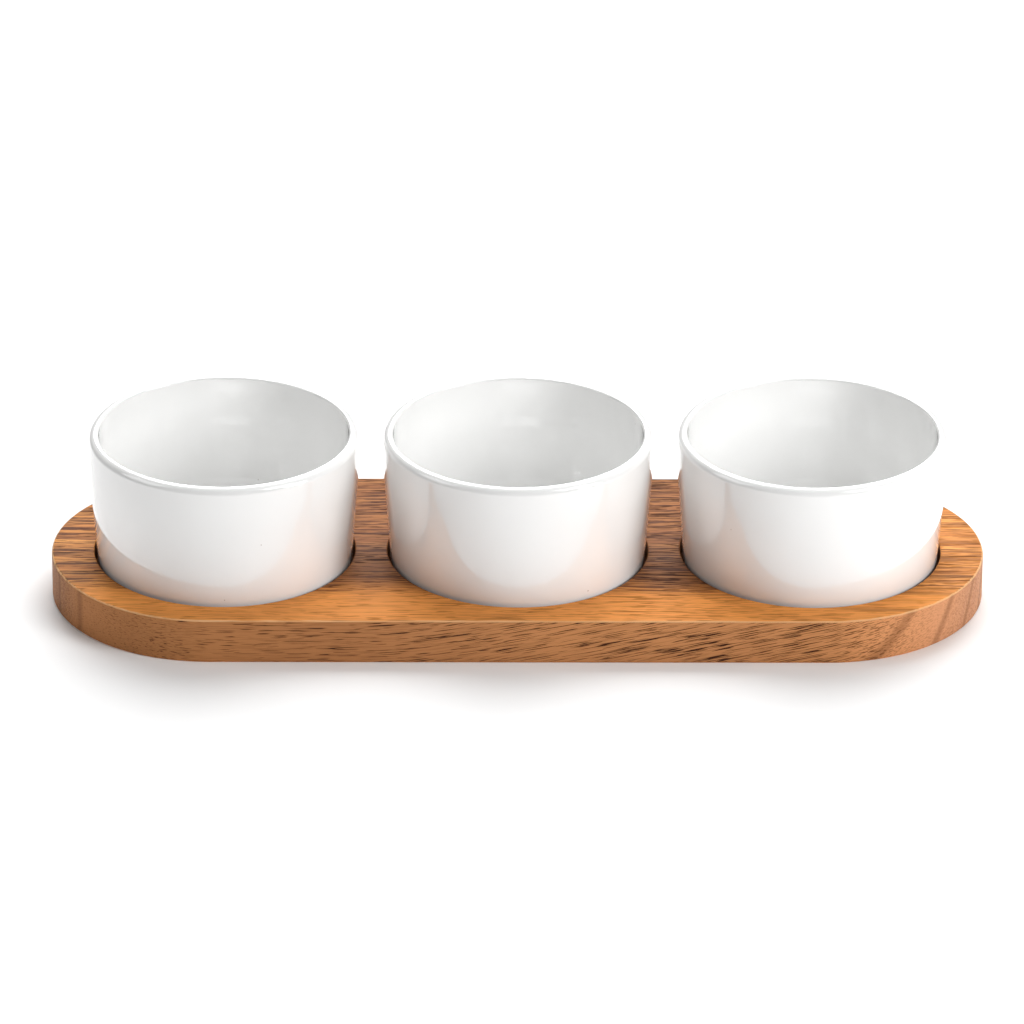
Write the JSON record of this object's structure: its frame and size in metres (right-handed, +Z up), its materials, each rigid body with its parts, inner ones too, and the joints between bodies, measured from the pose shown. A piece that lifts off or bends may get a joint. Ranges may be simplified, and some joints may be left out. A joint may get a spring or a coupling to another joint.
{
  "type": "chip and dip server",
  "caption": "Long wooden serving board with round ends and a row of round recesses, each holding a white glazed ceramic dip bowl that lifts straight out",
  "frame": {"origin": "centre of the board's underside, on the surface that it stands on", "axes": "+X along the board, +Y towards its back, +Z up"},
  "size_m": [0.382, 0.132, 0.0721],
  "materials": {
    "acacia": "satin oiled acacia",
    "white_glaze": "gloss white glaze"
  },
  "bodies": {
    "board": {"serving_board": "acacia"},
    "left_bowl": {"bowl_left": "white_glaze"},
    "centre_bowl": {"bowl_centre": "white_glaze"},
    "right_bowl": {"bowl_right": "white_glaze"}
  },
  "joints": [
    {"name": "bowl_left_lift", "type": "slide", "parent": "board", "child": "left_bowl", "axis": [0, 0, 1], "range_m": [0, 0.09]},
    {"name": "bowl_centre_lift", "type": "slide", "parent": "board", "child": "centre_bowl", "axis": [0, 0, 1], "range_m": [0, 0.09]},
    {"name": "bowl_right_lift", "type": "slide", "parent": "board", "child": "right_bowl", "axis": [0, 0, 1], "range_m": [0, 0.09]}
  ]
}
